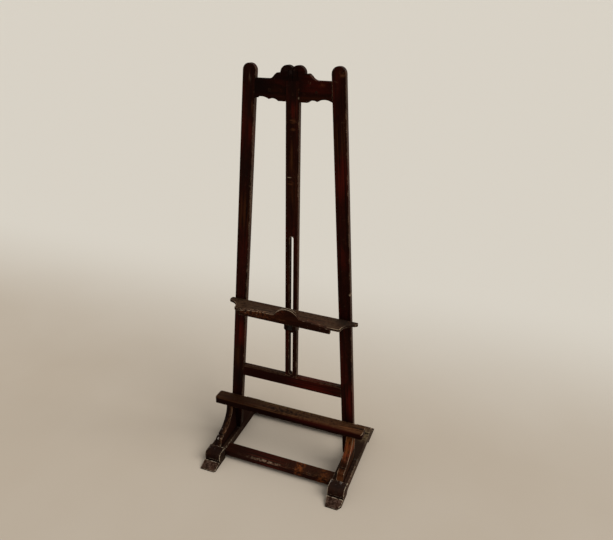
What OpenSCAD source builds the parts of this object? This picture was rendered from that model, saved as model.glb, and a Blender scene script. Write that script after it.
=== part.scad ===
// Floor-standing display easel with a sliding picture shelf, in millimetres.
// The origin is on the floor, midway between the feet and midway along them.
// +X is the viewer's right, +Y is behind the easel and +Z is up.
// Frame coordinates are X, the depth behind the front plane of the uprights,
// and the height measured up the slope of that leaning plane.

/* [Overall] */
// Height of the uprights, measured up the lean
upright_len = 1448; // [1408:10:1498]
// Backward lean of the whole frame, in degrees
lean = 3.5; // [3:0.5:4]
// Centre line to each upright, where it would meet the floor
spread_bottom = 243; // [240:1:246]
// Centre line to each upright, at its top
spread_top = 145.5; // [140.5:1:155.5]
// Where the front plane of the uprights meets the floor
front_y = -8.5; // [-12:0.5:-5]

/* [Uprights] */
// Width of an upright across its face
upright_w = 44; // [42:1:48]
// Thickness of an upright, front to back
upright_t = 21; // [21:1:27]
// Width of the bevel along the long edges
arris = 1.5; // [1:0.5:2.5]
// Height of the narrow neck between the shoulder and the foot
neck_h = 14; // [10:1:18]
// How far the neck is set in on every side
neck_inset = 4.5; // [3:0.5:5]

/* [Centre post] */
// Width of the post across its face
post_w = 45; // [40:1:48]
// Thickness of the post and the lower rail
post_t = 20; // [18:1:21]
// Width of the slot that guides the shelf
slot_w = 14.5; // [12:0.5:16]
// Thickness of the post's upper end, where it laps over the crest
lap_t = 8; // [7:0.5:9]
// Height of the slot's upper end
slot_top = 897; // [880:1:950]
// Solid wood left between the rail and the slot's lower end
slot_foot = 8; // [6:1:12]

/* [Lower rail] */
// Height of the rail's lower edge
rail_bottom = 300; // [290:1:310]
// Height of the rail's face
rail_h = 44; // [40:1:50]
// Bevel along the rail's upper front edge
rail_bevel = 5; // [3:1:7]

/* [Crest rail] */
// Thickness of the crest
crest_t = 19; // [17:1:20]
// How far the crest's face sits behind the uprights' faces
crest_back = 1; // [0:0.5:2]
// Height of the crest's face beside the uprights
crest_h = 66; // [62:1:70]
// Distance of the crest's upper edge below the uprights' tops
crest_drop = 44; // [40:1:52]
// How far the twin lobes rise above the crest's upper edge
lobe_rise = 42; // [40:0.5:44]
// Depth of the veins carved in the crest's lobes
vein_depth = 1.6; // [1:0.2:2.4]
// Middle of the crest to each wooden plug in its face
plug_x = 78; // [70:1:86]

/* [Feet] */
// Length of a foot, front to back
foot_len = 450; // [446:1:460]
// Width of a foot
foot_w = 62; // [60:1:66]
// Height of the foot's flat top
foot_h = 44; // [42:1:46]
// Centre line of the easel to the centre of a foot
foot_x = 249.5; // [248:0.5:251]
// Height of the arch under the middle of a foot
arch_h = 15; // [12:1:16]
// Length of the pad at each end that touches the floor
pad_len = 82.5; // [80:0.5:90]
// Height of the sloping toe where it meets the roll
toe_h = 18; // [16:1:20]
// Radius of the carved roll behind each toe
roll_r = 16; // [15:0.5:17]
// How far the roll stands above the flat top
roll_rise = 6; // [4:0.5:7]
// Depth of the groove between toe and roll
groove_depth = 7; // [5:0.5:9]

/* [Stretchers] */
// Depth of a stretcher, front to back
stretcher_d = 44; // [40:1:46]
// Height of a stretcher
stretcher_h = 25; // [23:1:27]
// Height of a stretcher's underside above the floor
stretcher_z = 16; // [15.5:0.5:17]
// Middle of the front stretcher, in front of the origin
stretcher_front = 118.5; // [114:0.5:119]
// Middle of the rear stretcher, behind the origin
stretcher_rear = 147; // [144:0.5:152]
// Bevel worn along the front stretcher's upper front edge
stretcher_bevel = 4; // [2:0.5:6]

/* [Braces] */
// Thickness of a brace
brace_w = 26; // [22:1:30]
// Radius of the hollow cut into a brace
cove_r = 93; // [90:0.5:95]
// Height of the little ledge at the hollow's foot
brace_step = 78; // [76:0.5:80]

/* [Lower ledge] */
// Length of the ledge, tip to tip
ledge_len = 603; // [583:5:618]
// Depth of the ledge in front of the uprights
ledge_d = 50; // [46:1:54]
// Thickness of the ledge
ledge_t = 25; // [22:1:28]
// Height of the ledge's upper face
ledge_top = 201; // [195:1:205]
// Radius of the ledge's upper front edge
ledge_round = 9; // [6:1:12]

/* [Shelf] */
// Height of the shelf's upper face in its stored place
shelf_top = 625; // [600:5:700]
// How far the shelf rocks down to the right about its bolt, in degrees
shelf_tilt = 1.1; // [0:0.1:1.2]
// Thickness of the shelf board
board_t = 9; // [9:0.5:12]
// Depth of the shelf board
board_d = 75; // [72:1:80]
// Width across the shelf board's front part
board_w = 396; // [390:2:402]
// Width across the ears at the back of the board
ears_w = 485; // [477:2:491]
// How far the board sits to the right of the post's centre line
board_shift = 7.5; // [4:0.5:9]
// Depth of the right ear at its tip
right_ear_d = 15; // [14:1:26]
// Depth of the left ear at its tip
left_ear_d = 24; // [14:1:26]
// Distance of the hollow sweeps' centres in front of the uprights
cove_depth = 70; // [66:1:71]
// Length of the lip along the front edge
lip_len = 350; // [330:2:356]
// Thickness of the lip
lip_t = 11; // [9:0.5:13]
// How far the lip hangs below the board's upper face
lip_drop = 18; // [16:0.5:22]
// How far the lip's ends fall below the board's upper face
lip_end_fall = 3; // [1:0.5:4]
// How far the lip stands above the board beside its raised middle
lip_mid_rise = 10; // [8:0.5:12]
// How far the middle of the lip rises above the board
lip_arch_rise = 40; // [36:1:42]
// How far that raised middle sits to the right of the post's centre line
lip_arch_x = 16; // [0:1:18]
// Radius of the lip's raised middle
lip_arch_r = 50; // [46:1:52]

/* [Shelf clamp] */
// Height of the block below the shelf board
block_h = 77; // [72:1:82]
// Thickness of the block
block_t = 11; // [10:0.5:14]
// Width of the housing for the bolt's head
housing_w = 20; // [19:0.5:22]
// Depth of that housing
housing_depth = 6; // [5:0.5:7]
// Distance of the bolt below the shelf board's upper face
bolt_drop = 72; // [68:1:74]
// Diameter of the clamping bolt
bolt_d = 8; // [8:0.5:9]
// Advance of the wing nut for one turn
thread_pitch = 1.25; // [1:0.25:1.5]
// Height of the key that runs in the slot
key_h = 48; // [40:1:52]
// Thickness of the clamping plate behind the post
plate_t = 9; // [8:0.5:10]

/* [Joinery] */
// Thickness of the rail tenons
tenon_t = 8; // [7:0.5:9]
// Length of the rail tenons
tenon_len = 32; // [28:1:34]
// Diameter of the wooden pegs
peg_d = 8; // [7:0.5:9]
// Clearance on every side of a tenon in its mortise
joint_gap = 0.1; // [0.05:0.05:0.2]
// Clearance round pegs, dowels and screws
peg_gap = 0.05; // [0.02:0.01:0.1]
// Clearance between the shelf and the parts it slides on
slide_gap = 0.3; // [0.2:0.05:0.4]
// Diameter of the wood screws
screw_d = 4.5; // [4:0.5:5]

/* [Hidden] */
$fn = 64;

// Colours
dark_wood = [0.17, 0.07, 0.045];
worn_wood = [0.30, 0.19, 0.12];
base_wood = [0.27, 0.17, 0.10];
peg_wood = [0.36, 0.22, 0.13];
iron = [0.13, 0.12, 0.12];
steel = [0.42, 0.40, 0.38];

// Slope of each upright and of the frame
splay = atan((spread_bottom - spread_top) / upright_len);
lean_rise = tan(lean);

// Heights up the frame
rail_top = rail_bottom + rail_h;
slot_bottom = rail_top + slot_foot;
crest_top = upright_len - crest_drop;
crest_bottom = crest_top - crest_h;
lap_top = crest_top - 4;
ledge_bottom = ledge_top - ledge_t;
bolt_v = shelf_top - bolt_drop;
board_bottom = shelf_top - board_t;

// Depths of the rail and crest tenons, from the front plane
tenon_front = (post_t - tenon_t) / 2;
tenon_back = tenon_front + tenon_t;
tenon_shoulder = 7;
peg_reach = 15;
peg_front = 4;

// The tenon that joins an upright to its foot
foot_tenon_w = 28;
foot_tenon_t = 13;
foot_tenon_len = 22;
foot_tenon_y = front_y + upright_t / 2 * cos(lean) + foot_h * lean_rise;
foot_tenon_x = spread_bottom - foot_h * tan(splay);
foot_peg_z = foot_h - foot_tenon_len / 2;

// Stretcher tenons
stretcher_tenon_w = 30;
stretcher_tenon_h = stretcher_h - 12;
stretcher_tenon_z = stretcher_z + 6;
stretcher_tenon_len = 25;
foot_inner = foot_x - foot_w / 2;
foot_outer = foot_x + foot_w / 2;

// Foot profile
pad_inner = foot_len / 2 - pad_len;
toe_len = 35;
roll_y = foot_len / 2 - toe_len - roll_r - 5.5;
roll_z = foot_h + roll_rise - roll_r;
roll_flat = 28;
roll_back = roll_y - roll_flat;

// Brace profile
brace_top_d = 27;
cove_y = front_y - 110;
cove_z = 175;
brace_step_y = front_y - 97;

// Screws
screw_head_d = 9;
screw_head_h = 3.2;
ledge_screw_v = ledge_bottom + ledge_t / 2;
ledge_screw_step = 11;
ledge_screw_len = 56;
brace_screw_v = 94;
brace_screw_len = 62;
dowel_y = [-52, -104];
dowel_low = 20;
dowel_high = 64;
dowel_d = 9;

// Clamp, from the front plane backwards
bolt_head = 5;
housing_floor = -slide_gap - block_t + housing_depth;
plate_front = post_t + slide_gap;
plate_back = plate_front + plate_t;
washer_t = 2;
nut_front = plate_back + washer_t;
nut_h = 10;
bolt_end = nut_front + nut_h + 6;
key_w = slot_w - 2 * slide_gap;
key_back = post_t - 1;
brad_d = 1.8;
brad_len = 24;

// ---- Places and directions ----

// Stands its children on the leaning plane of the frame
module in_frame() translate([0, front_y, 0]) rotate([-lean, 0, 0]) children();

// Rocks its children about the clamping bolt, in the plane of the frame
module on_shelf() in_frame() translate([0, 0, bolt_v]) rotate([0, shelf_tilt, 0])
    translate([0, 0, -bolt_v]) children();

// Tilts its children inwards with the right-hand upright
module splayed() translate([spread_bottom, 0, 0]) rotate([0, -splay, 0]) children();

// Swaps right for left
module on_left() mirror([1, 0, 0]) children();

// A point of the frame's middle plane, given as depth and height, in Y and Z
function frame_point(t, v) = [
    front_y + t * cos(lean) + v * sin(lean),
    v * cos(lean) - t * sin(lean)
];

// Half the clear width between the uprights at a given height
function inner_x(v) = spread_bottom - upright_w / 2 / cos(splay) - v * tan(splay);

// Middle of an upright at a given height
function middle_x(v) = spread_bottom - v * tan(splay);

// ---- Shapes used again and again ----

// A block between two opposite corners
module block(low, high) translate(low) cube(high - low);

// An outline drawn face-on, made solid between two depths
module slab(front, back) translate([0, back, 0]) rotate([90, 0, 0])
    linear_extrude(back - front) children();

// An outline drawn from the side, made solid between two X positions
module across(low, high) translate([low, 0, 0]) rotate([90, 0, 90])
    linear_extrude(high - low) children();

// A rectangle with bevelled corners, centred on X, from 0 back to its depth
module bevelled(width, depth, bevel) polygon([
    [-width / 2 + bevel, 0], [width / 2 - bevel, 0],
    [width / 2, bevel], [width / 2, depth - bevel],
    [width / 2 - bevel, depth], [-width / 2 + bevel, depth],
    [-width / 2, depth - bevel], [-width / 2, bevel]
]);

// A rectangle with true round corners, centred on X
module rounded(width, low, high, r) {
    translate([-width / 2 + r, low]) square([width - 2 * r, high - low]);
    translate([-width / 2, low + r]) square([width, high - low - 2 * r]);
    for (x = [-1, 1], y = [low + r, high - r])
        translate([x * (width / 2 - r), y]) circle(r);
}

// A rod along the depth of the frame
module depth_rod(x, v, front, back, d) translate([x, front, v]) rotate([-90, 0, 0])
    cylinder(h = back - front, d = d);

// A wood screw whose head lies at the origin and whose shank runs along +Z
module wood_screw(length) difference() {
    union() {
        cylinder(h = screw_head_h, d1 = screw_head_d, d2 = screw_d);
        cylinder(h = length - 8, d = screw_d);
        translate([0, 0, length - 8]) cylinder(h = 8, d1 = screw_d, d2 = 1);
    }
    translate([-screw_head_d, -0.6, -1]) cube([2 * screw_head_d, 1.2, 2.2]);
}

// The hole that a wood screw fills
module screw_hole(length) {
    cylinder(h = screw_head_h, d1 = screw_head_d + 2 * peg_gap, d2 = screw_d + 2 * peg_gap);
    cylinder(h = length, d = screw_d + 2 * peg_gap);
    translate([0, 0, -1]) cylinder(h = 1.01, d = screw_head_d + 2 * peg_gap);
}

// Places a screw or its hole in the frame, driven forwards from a depth
module from_behind(x, v, back) translate([x, back, v]) rotate([90, 0, 0]) children();

// ---- Places of the fasteners ----

// Right-hand ledge screws, driven through the upright from behind
module at_ledge_screws() for (step = [-1, 1])
    from_behind(middle_x(ledge_screw_v) + step * ledge_screw_step, ledge_screw_v, upright_t)
        children();

// Right-hand brace screw
module at_brace_screw() from_behind(foot_x - 3, brace_screw_v, upright_t) children();

// Right-hand rail peg and crest pegs, bored from behind and stopped short of the face
module rail_peg(gap) depth_rod(inner_x(rail_bottom + rail_h / 2) + peg_reach,
    rail_bottom + rail_h / 2, peg_front, upright_t, peg_d + 2 * gap);
module crest_side_pegs(gap) for (v = [crest_bottom + 20, crest_top - 16])
    depth_rod(inner_x(v) + peg_reach, v, peg_front, upright_t, peg_d + 2 * gap);

// Pegs at the two ends of the centre post: through the lap and the crest, and
// through the rail's tenon from behind
module post_top_peg(gap) depth_rod(2, crest_top - 43, -gap, crest_back + crest_t + gap,
    peg_d + 2 * gap);
module post_low_peg(gap) depth_rod(0, rail_top - 13, peg_front, post_t, peg_d + 2 * gap);

// Two short plugs set in the crest's face
module crest_face_plugs(gap) for (x = [-plug_x, plug_x])
    depth_rod(x, crest_top - 34, crest_back - 0.6, crest_back + 9, peg_d + 2 * gap);

// Right-hand peg through the foot and the upright's tenon
module foot_peg(gap) translate([foot_inner, foot_tenon_y, foot_peg_z]) rotate([0, 90, 0])
    cylinder(h = foot_w - 12, d = peg_d + 2 * gap);

// Right-hand pegs through the stretcher tenons, driven up from below the foot
module stretcher_foot_pegs(gap) {
    start = gap > 0 ? 2 : 0;
    for (place = [[-stretcher_front, arch_h], [stretcher_rear + 6, 1]])
        translate([foot_inner + 13, place[0], place[1] - start])
        cylinder(h = foot_h - 6 - place[1] + start, d = peg_d + 2 * gap);
}

// Right-hand dowels between brace and foot
module brace_foot_dowels(gap) for (y = dowel_y)
    translate([foot_x, y, dowel_low]) cylinder(h = dowel_high - dowel_low, d = dowel_d + 2 * gap);

// ---- Tenons, grown by a gap when they are cut as mortises ----

// Right-hand tenon of the rail or the crest
module side_tenon(low, high, gap) {
    middle = inner_x((low + high) / 2);
    reach = gap > 0 ? 1 : 0;
    block([middle - 8, tenon_front - gap, low + tenon_shoulder - gap],
        [middle + tenon_len + reach, tenon_back + gap, high - tenon_shoulder + gap]);
}

// Tenon of an upright in its foot
module foot_tenon(gap) {
    reach = gap > 0 ? 0.5 : 0;
    block([foot_tenon_x - foot_tenon_w / 2 - gap, foot_tenon_y - foot_tenon_t / 2 - gap,
        foot_h - foot_tenon_len - reach],
        [foot_tenon_x + foot_tenon_w / 2 + gap, foot_tenon_y + foot_tenon_t / 2 + gap,
        foot_h + 2]);
}

// Right-hand tenon of a stretcher, at a given Y
module stretcher_tenon(y, gap) {
    reach = gap > 0 ? 0.5 : 0;
    block([foot_inner - 4, y - stretcher_tenon_w / 2 - gap, stretcher_tenon_z - gap],
        [foot_inner + stretcher_tenon_len + reach, y + stretcher_tenon_w / 2 + gap,
        stretcher_tenon_z + stretcher_tenon_h + gap]);
}

// Tenon at the foot of the centre post
module post_tenon(gap) {
    reach = gap > 0 ? 1 : 0;
    block([-15 - gap, tenon_front - gap, rail_top - 26 - reach],
        [15 + gap, tenon_back + gap, rail_top + 4]);
}

// ---- Uprights ----

// The full stick with its domed top, before the foot end is cut
module stile() {
    dome_u = upright_len / cos(splay) - upright_w / 2;
    translate([0, 0, -40]) linear_extrude(dome_u + 40) bevelled(upright_w, upright_t, arris);
    translate([0, 0, dome_u]) rotate([-90, 0, 0]) {
        cylinder(h = arris, d1 = upright_w - 2 * arris, d2 = upright_w);
        translate([0, 0, arris]) cylinder(h = upright_t - 2 * arris, d = upright_w);
        translate([0, 0, upright_t - arris])
            cylinder(h = arris, d1 = upright_w, d2 = upright_w - 2 * arris);
    }
}

module upright() difference() {
    union() {
        intersection() {
            in_frame() splayed() stile();
            block([0, -200, foot_h + neck_h], [500, 400, 1600]);
        }
        intersection() {
            in_frame() splayed() block([-upright_w / 2 + neck_inset, neck_inset, -40],
                [upright_w / 2 - neck_inset, upright_t - neck_inset, 200]);
            block([0, -200, foot_h], [500, 400, foot_h + neck_h + 2]);
        }
        foot_tenon(0);
    }
    foot_peg(peg_gap);
    in_frame() {
        side_tenon(rail_bottom, rail_top, joint_gap);
        side_tenon(crest_bottom, crest_top, joint_gap);
        rail_peg(peg_gap);
        crest_side_pegs(peg_gap);
        at_ledge_screws() screw_hole(ledge_screw_len);
        at_brace_screw() screw_hole(brace_screw_len);
    }
}

module right_upright() color(dark_wood) upright();
module left_upright() color(dark_wood) on_left() upright();

// ---- Centre post and rails ----

module centre_post() color(dark_wood) in_frame() difference() {
    union() {
        translate([0, 0, rail_top]) linear_extrude(lap_top - rail_top)
            bevelled(post_w, post_t, arris);
        post_tenon(0);
    }
    block([-post_w, lap_t, crest_bottom - joint_gap], [post_w, post_t + 1, lap_top + 1]);
    slab(-1, post_t + 1) {
        translate([-slot_w / 2, slot_bottom + slot_w / 2])
            square([slot_w, slot_top - slot_bottom - slot_w]);
        for (v = [slot_bottom + slot_w / 2, slot_top - slot_w / 2])
            translate([0, v]) circle(d = slot_w);
    }
    post_top_peg(peg_gap);
    post_low_peg(peg_gap);
}

// A board between the uprights, its ends cut to their slope
module between_uprights(low, high) polygon([
    [-inner_x(low), low], [inner_x(low), low], [inner_x(high), high], [-inner_x(high), high]
]);

module lower_rail() color(dark_wood) in_frame() difference() {
    union() {
        intersection() {
            slab(0, post_t) between_uprights(rail_bottom, rail_top);
            across(-400, 400) polygon([
                [0, rail_bottom], [post_t, rail_bottom], [post_t, rail_top],
                [rail_bevel, rail_top], [0, rail_top - rail_bevel]
            ]);
        }
        side_tenon(rail_bottom, rail_top, 0);
        on_left() side_tenon(rail_bottom, rail_top, 0);
    }
    post_tenon(joint_gap);
    post_low_peg(peg_gap);
    rail_peg(peg_gap);
    on_left() rail_peg(peg_gap);
}

// One half of the crest's face: a lobe, a small shoulder and a hollow above,
// and two shallow hollows that meet in a cusp below
module crest_half() {
    lobe_r = 23;
    shoulder_r = 11;
    step_h = 13;
    sweep_r = 24;
    sweep_x = 82;
    difference() {
        union() {
            polygon([[0, crest_bottom], [inner_x(crest_bottom), crest_bottom],
                [inner_x(crest_top), crest_top], [0, crest_top]]);
            translate([18, crest_top + lobe_rise - lobe_r]) circle(lobe_r);
            translate([49, crest_top + 8]) circle(shoulder_r);
            translate([0, crest_top - 1]) square([sweep_x, step_h + 1]);
        }
        translate([sweep_x, crest_top + sweep_r]) circle(sweep_r);
        translate([68, crest_bottom - 20.5]) circle(28);
        translate([106, crest_bottom - 36.5]) circle(48);
        translate([-60, 0]) square([60, 2000]);
    }
}

module crest_rail() color(dark_wood) in_frame() difference() {
    union() {
        slab(crest_back, crest_back + crest_t) {
            crest_half();
            mirror([1, 0]) crest_half();
        }
        side_tenon(crest_bottom, crest_top, 0);
        on_left() side_tenon(crest_bottom, crest_top, 0);
    }
    block([-post_w / 2 - joint_gap, -1, crest_bottom - 1],
        [post_w / 2 + joint_gap, lap_t + joint_gap, lap_top + joint_gap]);
    post_top_peg(peg_gap);
    crest_face_plugs(peg_gap);
    crest_side_pegs(peg_gap);
    on_left() crest_side_pegs(peg_gap);
    vein(0, crest_top - 2, lobe_rise + 10);
    for (x = [-15, 15]) vein(x, crest_top + 6, 22);
}

// A carved groove that runs up the crest's face
module vein(x, low, length) translate([x, crest_back, low]) linear_extrude(length)
    polygon([[-2, -1], [2, -1], [0, vein_depth]]);

// ---- Feet and stretchers ----

// One end of the foot's side view: roll, toe and the groove between them
module foot_end() {
    tip = foot_len / 2;
    difference() {
        union() {
            square([roll_y, foot_h]);
            square([roll_y + roll_r, roll_z]);
            translate([roll_y, roll_z]) circle(roll_r);
            translate([roll_back, foot_h - 1]) square([roll_flat, roll_rise + 1]);
            polygon([[roll_y, 0], [tip, 0], [tip, 4], [tip - toe_len, toe_h], [roll_y, toe_h]]);
        }
        translate([roll_y + roll_r - 0.5, toe_h - groove_depth]) square([5.5, groove_depth + 4]);
        square([pad_inner - arch_h, arch_h]);
        translate([pad_inner - arch_h, 0]) circle(arch_h);
    }
}

// A right-hand foot with its mortises and holes
module foot() difference() {
    across(foot_inner, foot_outer) {
        foot_end();
        mirror([1, 0]) foot_end();
    }
    foot_tenon(joint_gap);
    foot_peg(peg_gap);
    stretcher_tenon(-stretcher_front, joint_gap);
    stretcher_tenon(stretcher_rear, joint_gap);
    stretcher_foot_pegs(peg_gap);
    brace_foot_dowels(peg_gap);
    for (x = [foot_inner, foot_outer]) translate([x, 0, foot_h]) rotate([0, 45, 0])
        cube([3, 2 * roll_back - 12, 3], center = true);
}

// The right toe is worn on both sides: a blunt outer corner and a long inner taper
module right_foot() color(base_wood) difference() {
    foot();
    translate([foot_outer, -foot_len / 2, -1]) linear_extrude(toe_h + 2)
        polygon([[-12, -1], [1, -1], [1, 18]]);
    translate([foot_inner, -foot_len / 2, -1]) linear_extrude(toe_h + 2)
        polygon([[7, -1], [-1, 35], [-1, -1]]);
}

// The left foot's inner toe corner has lost a small flake
module left_foot() color(base_wood) difference() {
    on_left() foot();
    translate([-foot_inner, -foot_len / 2, -1]) rotate([0, 0, 45])
        cube([9, 9, 2 * toe_h], center = true);
}

// A bar between the feet, with a tenon at each end
module stretcher(y, bevel) difference() {
    union() {
        across(-foot_inner, foot_inner) polygon([
            [y - stretcher_d / 2, stretcher_z],
            [y + stretcher_d / 2, stretcher_z],
            [y + stretcher_d / 2, stretcher_z + stretcher_h],
            [y - stretcher_d / 2 + bevel, stretcher_z + stretcher_h],
            [y - stretcher_d / 2, stretcher_z + stretcher_h - bevel]
        ]);
        stretcher_tenon(y, 0);
        on_left() stretcher_tenon(y, 0);
    }
    stretcher_foot_pegs(peg_gap);
    on_left() stretcher_foot_pegs(peg_gap);
}

module front_stretcher() color(worn_wood) stretcher(-stretcher_front, stretcher_bevel);
module rear_stretcher() color(base_wood) stretcher(stretcher_rear, 1.5);

// ---- Braces ----

// Side view of a brace: a long hollow that ends in a step, a rounded nose and a
// short slope down to the foot's roll
module brace_profile() difference() {
    polygon([
        [front_y + foot_h * lean_rise, foot_h],
        frame_point(0, ledge_bottom),
        frame_point(-brace_top_d, ledge_bottom),
        [brace_step_y, cove_z],
        [brace_step_y, brace_step],
        [brace_step_y - 17, brace_step],
        [brace_step_y - 22, brace_step - 4],
        [brace_step_y - 25, brace_step - 16],
        [brace_step_y - 29, brace_step - 20],
        [-roll_back, foot_h + roll_rise + 1],
        [-roll_back, foot_h]
    ]);
    translate([cove_y, cove_z]) circle(cove_r, $fn = 128);
}

module brace() difference() {
    across(foot_x - brace_w / 2, foot_x + brace_w / 2) brace_profile();
    brace_foot_dowels(peg_gap);
    in_frame() at_brace_screw() screw_hole(brace_screw_len);
}

module right_brace() color(worn_wood) brace();
module left_brace() color(base_wood) on_left() brace();

// ---- Lower ledge ----

module lower_ledge() color(worn_wood) in_frame() difference() {
    intersection() {
        across(-ledge_len / 2, ledge_len / 2) difference() {
            translate([-ledge_d, ledge_bottom]) square([ledge_d, ledge_t]);
            translate([-ledge_d, ledge_top - ledge_round]) difference() {
                translate([-1, 0]) square([ledge_round + 1, ledge_round + 1]);
                translate([ledge_round, 0]) circle(ledge_round);
            }
        }
        translate([0, 0, ledge_bottom - 1]) linear_extrude(ledge_t + 2)
            rounded(ledge_len, -ledge_d, 0, 8);
    }
    at_ledge_screws() screw_hole(ledge_screw_len);
    on_left() at_ledge_screws() screw_hole(ledge_screw_len);
}

// ---- Pegs, dowels and screws of the frame ----

module crest_plugs() color(peg_wood) in_frame() crest_face_plugs(0);

module crest_pegs() color(peg_wood) in_frame() {
    crest_side_pegs(0);
    on_left() crest_side_pegs(0);
}

module rail_pegs() color(peg_wood) in_frame() {
    rail_peg(0);
    on_left() rail_peg(0);
}

module post_pegs() color(peg_wood) in_frame() {
    post_top_peg(0);
    post_low_peg(0);
}

module upright_foot_pegs() color(peg_wood) {
    foot_peg(0);
    on_left() foot_peg(0);
}

module stretcher_pegs() color(peg_wood) {
    stretcher_foot_pegs(0);
    on_left() stretcher_foot_pegs(0);
}

module brace_dowels() color(peg_wood) {
    brace_foot_dowels(0);
    on_left() brace_foot_dowels(0);
}

module brace_screws() color(iron) in_frame() {
    at_brace_screw() wood_screw(brace_screw_len);
    on_left() at_brace_screw() wood_screw(brace_screw_len);
}

module ledge_screws() color(iron) in_frame() {
    at_ledge_screws() wood_screw(ledge_screw_len);
    on_left() at_ledge_screws() wood_screw(ledge_screw_len);
}

// ---- Sliding shelf ----

// Right half of the board's plan: a hollow sweep runs from the front part out to
// an ear in front of the upright
module board_half(ear_d) difference() {
    cove_r = cove_depth - ear_d;
    tip_r = 6;
    union() {
        translate([-1, -board_d]) square([board_w / 2 + 1 - tip_r, board_d]);
        translate([-1, tip_r - board_d]) square([board_w / 2 + 1, board_d - tip_r]);
        translate([board_w / 2 - tip_r, tip_r - board_d]) circle(tip_r);
        translate([0, -cove_depth]) square([ears_w / 2 - tip_r, cove_depth]);
        translate([0, -ear_d + tip_r]) square([ears_w / 2, ear_d - 2 * tip_r]);
        for (y = [-ear_d + tip_r, -tip_r]) translate([ears_w / 2 - tip_r, y]) circle(tip_r);
    }
    translate([board_w / 2 + cove_r, -cove_depth]) circle(cove_r);
    translate([board_w / 2 + cove_r, -cove_depth - 1]) square([ears_w, cove_r + 1]);
}

module board_plan() translate([board_shift, -slide_gap]) {
    board_half(right_ear_d);
    mirror([1, 0]) board_half(left_ear_d);
}

// Places of the two screws that hold the block under the board
module at_block_screws() for (x = [-15, 15])
    translate([x, -slide_gap - block_t / 2, shelf_top]) rotate([180, 0, 0]) children();

// Places of the brads that hold the lip
module at_brads(gap) for (x = [-140, -95, 95, 140])
    depth_rod(x, board_bottom + board_t / 2, -slide_gap - board_d - lip_t,
        -slide_gap - board_d - lip_t + brad_len, brad_d + 2 * gap);

module shelf_board() color(worn_wood) on_shelf() difference() {
    translate([0, 0, board_bottom]) linear_extrude(board_t) board_plan();
    at_block_screws() screw_hole(40);
    at_brads(peg_gap);
}

// Face of the lip: each end climbs in a slow curve to a raised middle with coved feet
module lip_face() {
    foot_r = 12;
    arch_v = shelf_top + lip_arch_rise - lip_arch_r;
    shoulder_v = shelf_top + lip_mid_rise;
    foot_dx = sqrt(pow(lip_arch_r + foot_r, 2) - pow(shoulder_v + foot_r - arch_v, 2));
    level_x = lip_arch_x + foot_dx;
    run = lip_len / 2 - level_x;
    fall = lip_mid_rise + lip_end_fall;
    sweep_r = (run * run + fall * fall) / 2 / fall;
    difference() {
        union() {
            intersection() {
                union() for (side = [-1, 1])
                    translate([side * level_x, shoulder_v - sweep_r]) circle(sweep_r, $fn = 256);
                translate([-lip_len / 2, shelf_top - lip_drop])
                    square([lip_len, lip_drop + lip_mid_rise]);
            }
            translate([-level_x, shelf_top - lip_drop])
                square([2 * level_x, lip_drop + lip_mid_rise]);
            translate([lip_arch_x - foot_dx, shoulder_v - 1]) square([2 * foot_dx, foot_r * 0.75]);
            intersection() {
                translate([lip_arch_x, arch_v]) circle(lip_arch_r);
                translate([lip_arch_x - lip_arch_r, shelf_top - lip_drop])
                    square([2 * lip_arch_r, 100]);
            }
        }
        for (side = [-1, 1])
            translate([lip_arch_x + side * foot_dx, shoulder_v + foot_r]) circle(foot_r);
    }
}

module shelf_lip() color(worn_wood) on_shelf() difference() {
    slab(-slide_gap - board_d - lip_t, -slide_gap - board_d) lip_face();
    at_brads(peg_gap);
}

// The block bears on the post's face; its housing keeps the bolt from turning
module shelf_block() color(base_wood) on_shelf() difference() {
    slab(-slide_gap - block_t, -slide_gap) difference() {
        translate([-post_w / 2, board_bottom - block_h]) square([post_w, block_h]);
        for (side = [-1, 1]) translate([side * post_w / 2, board_bottom - block_h])
            rotate(45) square(10, center = true);
    }
    slab(-slide_gap - block_t - 1, housing_floor)
        translate([-housing_w / 2, board_bottom - block_h - 1])
        square([housing_w, bolt_v + housing_w / 2 + 3 - board_bottom + block_h]);
    depth_rod(0, bolt_v, -20, 1, bolt_d + 4 * peg_gap);
    at_block_screws() screw_hole(40);
}

module slot_key() color(peg_wood) in_frame() difference() {
    block([-key_w / 2, -slide_gap, bolt_v - key_h / 2], [key_w / 2, key_back, bolt_v + key_h / 2]);
    depth_rod(0, bolt_v, -2, post_t, bolt_d + 4 * peg_gap);
}

module shelf_screws() color(iron) on_shelf() at_block_screws() wood_screw(40);

module lip_brads() color(iron) on_shelf() at_brads(0);

// ---- Clamp ----

module clamp_bolt() color(iron) on_shelf() {
    block([-housing_w / 2 + 0.5, housing_floor - bolt_head, bolt_v - housing_w / 2 + 0.5],
        [housing_w / 2 - 0.5, housing_floor, bolt_v + housing_w / 2 - 0.5]);
    depth_rod(0, bolt_v, housing_floor - 1, bolt_end - 1.5, bolt_d);
    translate([0, bolt_end - 1.5, bolt_v]) rotate([-90, 0, 0])
        cylinder(h = 1.5, d1 = bolt_d, d2 = bolt_d - 3);
}

module clamp_plate() color(peg_wood) in_frame() difference() {
    slab(plate_front, plate_back) translate([0, bolt_v]) rounded(40, -28, 28, 7);
    depth_rod(0, bolt_v, plate_front - 1, plate_back + 1, bolt_d + 6 * peg_gap);
}

module clamp_washer() color(steel) in_frame() difference() {
    depth_rod(0, bolt_v, plate_back, nut_front, 24);
    depth_rod(0, bolt_v, plate_back - 1, nut_front + 1, bolt_d + 6 * peg_gap);
}

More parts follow.
